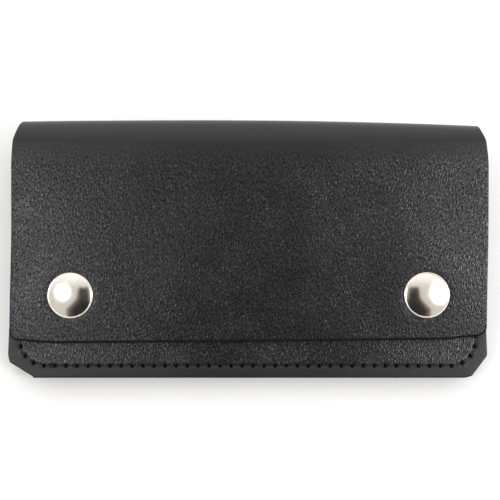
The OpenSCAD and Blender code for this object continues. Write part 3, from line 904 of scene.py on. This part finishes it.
def pocket_layers():
    """Divider, card pockets and the back of the coin pocket, pressed together at the seam."""
    wide = marks(both_sides(BODY_W / 2 - 0.4 - EDGE), np.arange(-81, 81.5, 2.7), gap=0.2)
    eyelet = ((EYELET_X, EYELET_Y), EYELET_HOLE_R)
    mouth = divider_high.y

    def closed(gap):
        """Presses the layer down onto the one below it along the seam."""
        return lambda x, y, d: -gap * smooth(d, 9.0, 6.0) * smooth(y, mouth, mouth - 3)

    xs = marks(wide, EYELET_X + np.arange(-5, 5.1, 0.5), gap=0.12)
    ys = marks(
        LOW_Y + 0.4 + EDGE, np.arange(LOW_Y + 2, mouth - 1, 2.5),
        EYELET_Y + np.arange(-5, 5.1, 0.5), mouth - EDGE, gap=0.12,
    )
    piece = plate(
        "divider_leather", divider_low.z, divider_high.z, mouth, 0.4, POCKET_HIDE, xs, ys,
        under=closed(0.02), holes=[eyelet],
    )
    place(piece, "pocket_leather", "pocket_body", "bill_divider")

    for step in ("upper", "middle", "lower"):
        low, high = box_mm("card_pocket_" + step)
        left = -BODY_W / 2 + 0.6
        xs = marks(left + EDGE, np.arange(left + 2, high.x - 1, 2.4), high.x - EDGE, gap=0.2)
        ys = marks(
            LOW_Y + 0.6 + EDGE, np.arange(LOW_Y + 2, high.y - 1, 2.4), high.y - EDGE, gap=0.2
        )
        piece = plate(
            f"card_pocket_{step}_leather", low.z, high.z, high.y, 0.6, POCKET_HIDE, xs, ys,
            out=-0.02, right=high.x,
        )
        place(piece, "pocket_leather", "pocket_body", "card_pocket_" + step)

    low, high = box_mm("filler_strip")
    xs = marks(
        low.x + EDGE, np.arange(low.x + 1, high.x - 8, 2.5), high.x - 8 + EDGE,
        np.arange(high.x - 7, high.x - 1, 1.5), high.x - EDGE, gap=0.12,
    )
    ys = marks(
        low.y + EDGE, np.arange(low.y + 1.2, low.y + 7, 1.2), low.y + 7.5 - EDGE,
        np.arange(low.y + 9, high.y - 1, 2.5), high.y - EDGE, gap=0.12,
    )
    x, y = np.meshgrid(xs, ys)
    x, y, d = layer_outline(x, y, 0.5, high.y)
    inner_x, inner_y = side_x(high.y) - 8.0, LOW_Y + 8.0
    gone = (x < inner_x - 1e-6) & (y > inner_y + 1e-6)
    d = np.minimum(d, np.where(y > inner_y, x - inner_x, np.maximum(x - low.x, 0)))
    x = x * np.where(x > 0, side_x(y) / (BODY_W / 2), 1.0)
    outer = np.stack([x, y, high.z - 0.02 - edge_drop(np.clip(d, 0, 9))], -1)
    inner = np.stack([x, y, low.z + 0 * x], -1)
    flat = np.stack([x + 40, y + 9, 0 * x], -1)
    piece = slab("filler_leather", outer, inner, flat, POCKET_HIDE, gone)
    place(piece, "pocket_leather", "pocket_body", "filler_strip")

    low, high = coin_low, coin_high
    xs = marks(
        both_sides(BODY_W / 2 - 0.5 - EDGE), both_sides(np.arange(75, 78.4, 0.35)),
        np.arange(-75, 75.5, 2.5), gap=0.15,
    )
    ys = marks(
        low.y + EDGE, np.arange(low.y + 1.2, low.y + 4.5, 1.0),
        np.arange(low.y + 4.6, low.y + 7.4, 0.35), np.arange(low.y + 8, high.y - 7, 2.5),
        np.arange(high.y - 6.8, high.y - 4.6, 0.35), np.arange(high.y - 4.5, high.y - 1, 0.9),
        high.y - EDGE, gap=0.15,
    )
    piece = plate(
        "coin_back_leather", low.z, high.z, high.y, 0.5, POCKET_HIDE, xs, ys,
        out=lambda x, y, d: -0.8 * smooth(d, 5.3, 6.0) - 0.02, under=closed(0.18),
    )
    place(piece, "pocket_leather", "pocket_body", "coin_pocket_back")


# ---------------------------------------------------------------- stitches


def front_level(x, y):
    """Height of the uppermost layer under the perimeter seam."""
    if y < FRONT_Y:
        return FACE_Z - 0.27
    if y < lower_tape_high.y or upper_tape_low.y < y < upper_tape_high.y:
        return lower_tape_high.z + 0.04
    if y < coin_high.y:
        return coin_high.z
    if x > 0:
        return divider_high.z
    for step in ("lower", "middle", "upper"):
        _, high = box_mm("card_pocket_" + step)
        if y < high.y:
            return high.z
    return divider_high.z


def stitches():
    """Both faces of the perimeter seam, and the zipper's two rows."""
    front, back, headings = [], [], []
    for i in range(STITCHES):
        start, end = HOLES[i], HOLES[i + 1]
        headings.append(seam_at((i + 0.5) * PITCH)[2])
        front.append(stitch(start, end, front_level, dive=0.9, gap=0.42))
        back.append(stitch(start, end, lambda x, y: 0.36, dive=0.5, lift=0.1, up=-1.0))
    piece = thread("front_seam_stitches", front, headings)
    place(piece, "thread", "pocket_body", "seam_thread_front")
    piece = thread("back_seam_stitches", back, headings, radius=(0.27, 0.17))
    place(piece, "thread", "pocket_body", "seam_thread_back")
    rows = []
    holes = zipper_holes()
    lower_row = FRONT_Y - ZIP_MARGIN, FACE_Z - 0.14
    upper_row = upper_tape_high.y - ZIP_MARGIN, upper_tape_high.z + 0.02
    for y, level in (lower_row, upper_row):
        for start, end in zip(holes, holes[1:]):
            rows.append(stitch((start, y), (end, y), lambda x, y, z=level: z, lift=0.12))
    piece = thread("zipper_stitches", rows, [0.0] * len(rows))
    place(piece, "thread", "pocket_body", "zipper_seam_thread")


# ---------------------------------------------------------------- snaps and eyelet


def snaps():
    """Cap, socket, stud and post of each snap, as profiles of (radius, height)."""
    dome_rise, rim_r, cap_r = 1.2, 0.32, (cap_high.x - cap_low.x) / 2
    dome_r = (cap_r * cap_r + dome_rise * dome_rise) / (2 * dome_rise)
    dome = []
    for r in np.linspace(0, cap_r - 0.55, 26):
        dome.append((r, rim_r + dome_rise - dome_r + math.sqrt(dome_r * dome_r - r * r)))
    last_r, last_h = dome[-1]
    cap = dome + [(last_r + 0.07, last_h - 0.05)]
    cap += bend(cap_r - rim_r, rim_r, rim_r, 104, -90, 14)
    cap += [(cap_r - 0.9, 0.05), (2.2, 0.1), (1.9, 0.0), (1.9, -1.84), (2.3, -1.86)]
    cap += bend(2.35, -2.02, 0.17, 60, -90, 5) + [(1.5, -2.16), (1.35, -2.05), (1.35, 0.3), (0, 0.3)]
    socket = [(1.95, -1.5), (5.95, -1.5)] + bend(6.02, -1.68, 0.175, 80, -80, 5)
    socket += [(5.3, -1.87), (5.0, -2.0), (4.9, -2.3), (4.88, -3.2)]
    socket += bend(4.5, -3.3, 0.4, 0, -120, 7)
    socket += [(3.8, -3.5), (3.55, -3.2), (3.52, -2.9), (3.7, -2.6), (3.66, -2.2), (3.4, -1.93)]
    socket += [(2.4, -1.87), (1.95, -1.85)]
    stud = [(2.1, 0.02), (2.1, 1.8)] + bend(2.35, 1.82, 0.24, 180, 60, 5)
    stud += bend(2.52, 1.68, 0.34, 60, -70, 7)
    stud += [(2.6, 1.2), (2.62, 0.75), (2.8, 0.5), (3.3, 0.4), (5.2, 0.36)]
    stud += bend(5.82, 0.19, 0.17, 80, -60, 5) + [(5.8, 0.02)]
    rivet = [(1.35, -0.35), (1.35, 2.2)] + bend(1.6, 2.3, 0.25, 180, 0, 6) + [(1.88, 2.0), (1.88, 0.0)]
    rivet += [(5.0, 0.0)] + bend(5.03, -0.17, 0.165, 80, -80, 5) + [(1.6, -0.35)]
    for side, name in ((-1, "left"), (1, "right")):
        at = cover(np.array([side * SNAP_X]), np.array([SNAP_S]), np.array([0.0]))[0]
        piece = lathe("cap_" + name, cap, NICKEL, at, tilt=SLOPE, sides=128)
        place(piece, "snap_nickel", "flap", "snap_cap_" + name)
        piece = lathe("socket_" + name, socket, NICKEL, at, tilt=SLOPE, closed=True)
        place(piece, "snap_nickel", "flap", "snap_socket_" + name)
        seat = (side * SNAP_X, STUD_Y, FACE_Z)
        piece = lathe("stud_" + name, stud, NICKEL, seat, closed=True)
        place(piece, "snap_nickel", "pocket_body", "snap_stud_" + name)
        seat = (side * SNAP_X, STUD_Y, front_low.z)
        piece = lathe("post_" + name, rivet, NICKEL, seat, closed=True)
        place(piece, "snap_nickel", "pocket_body", "snap_post_" + name)


def eyelet():
    """The ring that the chain hooks into, rolled over its washer at the back."""
    low, high = box_mm("chain_eyelet")
    hole, flange = 2.4, 5.1
    top = high.z
    profile = bend(hole + 0.27, top - 0.24, 0.26, 180, 90, 5)
    profile += bend(hole + 0.65, top - 0.3, 0.32, 90, -60, 7)
    profile += [(hole + 0.46, top - 0.62), (hole + 0.44, 0.6), (hole + 0.6, 0.46)]
    profile += [(flange - 0.4, 0.44)]
    profile += bend(flange - 0.2, 0.25, 0.19, 80, -80, 6) + [(hole + 0.7, low.z + 0.01)]
    profile += bend(hole + 0.4, low.z + 0.4, 0.4, -90, -180, 5)
    piece = lathe("eyelet_ring", profile, EYELET_METAL, (EYELET_X, EYELET_Y, 0), closed=True)
    place(piece, "eyelet_nickel", "pocket_body", "chain_eyelet")
    washer_r = (washer_high.x - washer_low.x) / 2
    profile = [(2.9, 0.02), (2.9, 0.36), (3.2, 0.4), (washer_r - 0.4, 0.38)]
    profile += bend(washer_r - 0.19, 0.19, 0.19, 80, -70, 6) + [(washer_r - 0.4, 0.0)]
    seat = (EYELET_X, EYELET_Y, washer_low.z)
    piece = lathe("eyelet_washer_ring", profile, EYELET_METAL, seat, closed=True)
    place(piece, "eyelet_nickel", "pocket_body", "eyelet_washer")


# ---------------------------------------------------------------- zipper


def loft(rings):
    """Points and faces of a closed solid through rings of equal counts, with flat ends."""
    rings = [np.array(ring, float) for ring in rings]
    n = len(rings[0])
    points = np.concatenate(rings)
    faces = []
    for k in range(len(rings) - 1):
        for j in range(n):
            after = (j + 1) % n
            faces.append([k * n + j, k * n + after, (k + 1) * n + after, (k + 1) * n + j])
    faces.append(list(range(n))[::-1])
    faces.append([(len(rings) - 1) * n + j for j in range(n)])
    return points, faces


def tooth():
    """One zipper tooth: a leg on the tape, a waist, and a head with a rounded tip."""
    half = [
        (0.40, 2.8), (0.47, 2.5), (0.47, 1.5), (0.36, 1.0), (0.34, 0.3), (0.47, -0.05),
        (0.46, -0.4), (0.28, -0.66),
    ]
    outline = half + [(0.0, -0.7)] + [(-x, y) for x, y in half[::-1]] + [(0.0, 2.85)]
    outline = np.array(outline)
    middle = np.array([0.0, 1.0])
    rings = []
    for z, keep in ((0.02, 0.86), (0.16, 1.0), (1.3, 1.0), (1.5, 0.93), (1.6, 0.76)):
        ring = middle + (outline - middle) * [keep, 1 - (1 - keep) * 0.35]
        rings.append(np.column_stack([ring, np.full(len(ring), z)]))
    return loft(rings)


def teeth(name, node, side):
    """A row of teeth. side is 1 for the upper tape and -1 for the lower one."""
    low, high = box_mm(node)
    pitch, width = 2.2, 0.95
    count = int(round((high.x - low.x - width) / pitch)) + 1
    one, one_faces = tooth()
    points, faces = [], []
    for i in range(count):
        at = np.array([low.x + width / 2 + i * pitch, ZIP_Y, low.z])
        points.append(one * [1, side, 1] + at)
        faces += [[i * len(one) + p for p in face][::side] for face in one_faces]
    points = np.concatenate(points)
    piece = mesh(name, points, faces, [ZIP_METAL], smooth_faces=False)
    place(piece, "zipper_metal", "pocket_body", node)


def tape(name, node):
    """Half of the zipper's tape, with a corded edge beside the teeth."""
    low, high = box_mm(node)
    inner = high.y if "lower" in node else low.y
    xs = marks(low.x + EDGE, np.arange(low.x + 1, high.x, 2.0), high.x - EDGE, gap=0.2)
    ys = marks(np.arange(low.y, high.y, 0.28), [high.y], gap=0.1)
    x, y = np.meshgrid(xs, ys)
    d = np.minimum(np.minimum(x - low.x, high.x - x), np.minimum(y - low.y, high.y - y))
    cord = 0.3 * np.exp(-(((y - inner) / 0.75) ** 2) * 1.2) * smooth(np.abs(x), 79.5, 70)
    top = high.z - 0.02 - edge_drop(d, 0.18) + cord + 0.02 * cloud(x, y, 9, 31)
    outer = np.stack([x, y, top], -1)
    base = np.stack([x, y, low.z + edge_drop(d, 0.12)], -1)
    piece = slab(name, outer, base, np.stack([x, y, 0 * x], -1), [TAPE])
    piece.data.polygons.foreach_set("material_index", [0] * len(piece.data.polygons))
    place(piece, "zipper_tape", "pocket_body", node)


def softened(name, node, body, width):
    """A metal part of the zipper: its CAD node's own shape with the edges rounded."""
    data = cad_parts[node].data.copy()
    data.name = name
    work = bmesh.new()
    work.from_mesh(data)
    bmesh.ops.remove_doubles(work, verts=work.verts, dist=1e-7)
    flat_enough = math.radians(1)
    bmesh.ops.dissolve_limit(work, angle_limit=flat_enough, verts=work.verts, edges=work.edges)
    work.to_mesh(data)
    work.free()
    data.materials.clear()
    data.materials.append(ZIP_METAL)
    piece = bpy.data.objects.new(name, data)
    bpy.context.scene.collection.objects.link(piece)
    bevel = piece.modifiers.new("edges", "BEVEL")
    bevel.width = width * MM
    bevel.segments = 3
    bevel.limit_method = "ANGLE"
    bevel.angle_limit = math.radians(35)
    graph = bpy.context.evaluated_depsgraph_get()
    piece.data = bpy.data.meshes.new_from_object(piece.evaluated_get(graph))
    piece.modifiers.clear()
    piece.data.polygons.foreach_set("use_smooth", [True] * len(piece.data.polygons))
    place(piece, "zipper_metal", body, node)


def zipper():
    tape("zipper_tape_upper_cloth", "zipper_tape_upper")
    tape("zipper_tape_lower_cloth", "zipper_tape_lower")
    teeth("zipper_teeth_upper_row", "zipper_teeth_upper", 1)
    teeth("zipper_teeth_lower_row", "zipper_teeth_lower", -1)
    for end in ("closed", "open"):
        softened(f"zipper_stop_{end}_clip", "zipper_stop_" + end, "pocket_body", 0.25)
    softened("zipper_slider_body", "zipper_slider", "slider", 0.3)
    softened("zipper_pull_tab", "zipper_pull", "pull", 0.2)


cover_back()
cover_flap()
front_panel()
pocket_layers()
stitches()
snaps()
eyelet()
zipper()

# ---------------------------------------------------------------- floor, light and camera


def floor():
    """White paper that the wallet lies on."""
    reach, level = 3000.0, -0.1
    corners = [(x * reach, y * reach, level) for x, y in ((-1, -1), (1, -1), (1, 1), (-1, 1))]
    g = Graph("pale_floor")
    paper = g.noise(g.object_mm(), 0.02, 3, 0.6)
    g.finish(
        Base_Color=g.ramp(paper, [(0.3, (0.93, 0.93, 0.93)), (0.7, (0.95, 0.95, 0.95))]),
        Roughness=0.9,
    )
    mesh("floor", corners, [[0, 1, 2, 3]], [g.material])


def sky():
    """Soft light from all round, brighter from the far side."""
    world = bpy.data.worlds.new("studio")
    world.use_nodes = True
    bpy.context.scene.world = world
    background = world.node_tree.nodes["Background"]
    background.inputs["Color"].default_value = (1.0, 0.985, 0.955, 1)
    tree = world.node_tree
    way = tree.nodes.new("ShaderNodeSeparateXYZ")
    tree.links.new(tree.nodes.new("ShaderNodeTexCoord").outputs["Generated"], way.inputs[0])
    level = tree.nodes.new("ShaderNodeMapRange")
    level.interpolation_type = "SMOOTHSTEP"
    tree.links.new(way.outputs[1], level.inputs[0])
    for k, value in enumerate((-0.05, 0.65, 0.74, 1.7)):
        level.inputs[k + 1].default_value = value
    tree.links.new(level.outputs[0], background.inputs["Strength"])


def flag():
    """A dark cloth held above the near side, which the snap caps mirror. It is out of every view.

    It widens towards the near side, and its hem is browner and paler than the rest.
    """
    height = 370
    rows = [(48, 10), (60, -50), (66, -100), (115, -160), (190, -230), (250, -550)]
    points = [(x * part, y, height) for x, y in rows for part in (-1, -0.55, 0.55, 1)]
    faces = [[k, k + 1, k + 5, k + 4] for k in range(4 * len(rows) - 4) if k % 4 != 3]
    g = Graph("flag_cloth")
    hem = g.attribute("hem", output=2)
    cloth = g.ramp(hem, [(0.15, (0.006, 0.004, 0.003)), (1.0, (0.2, 0.12, 0.08))])
    g.finish(Base_Color=cloth, Roughness=0.95)
    hems = {"hem": np.tile([1.0, 0, 0, 1.0], len(rows))}
    made = mesh("flag", points, faces, [g.material], attributes=hems)
    made.visible_camera = False


def softbox(name, at, width, brightness):
    """A round soft light aimed at the wallet, this many times as bright as white paper."""
    light = bpy.data.lights.new(name, "AREA")
    light.shape = "DISK"
    light.size = width
    light.energy = brightness * math.pi * math.pi * (width / 2) ** 2
    made = bpy.data.objects.new(name, light)
    made.visible_camera = False
    made.location = at
    made.rotation_mode = "QUATERNION"
    made.rotation_quaternion = (-Vector(at)).to_track_quat("-Z", "Y")
    bpy.context.scene.collection.objects.link(made)


def camera():
    """Looks square on to the closed flap."""
    aim, away = (0.83, 0.01), 280
    data = bpy.data.cameras.new("camera")
    data.angle = math.radians(34.2)
    made = bpy.data.objects.new("camera", data)
    turn = Matrix.Rotation(SLOPE, 4, "X")
    plane = -math.sin(SLOPE) * FLAP_TOP_Y + math.cos(SLOPE) * FLAP_TOP_Z
    made.matrix_world = turn @ Matrix.Translation(Vector((*aim, plane + away)) * MM)
    bpy.context.scene.collection.objects.link(made)
    bpy.context.scene.camera = made


floor()
sky()
flag()
softbox("left_glow", (-0.265, -0.05, 0.49), 0.24, 1.35)
softbox("left_core", (-0.275, -0.05, 0.48), 0.085, 13.0)
softbox("right_glow", (0.37, -0.06, 0.49), 0.36, 1.5)
softbox("right_core", (0.37, -0.06, 0.48), 0.12, 19.0)
camera()
bpy.context.scene.view_settings.view_transform = "Standard"
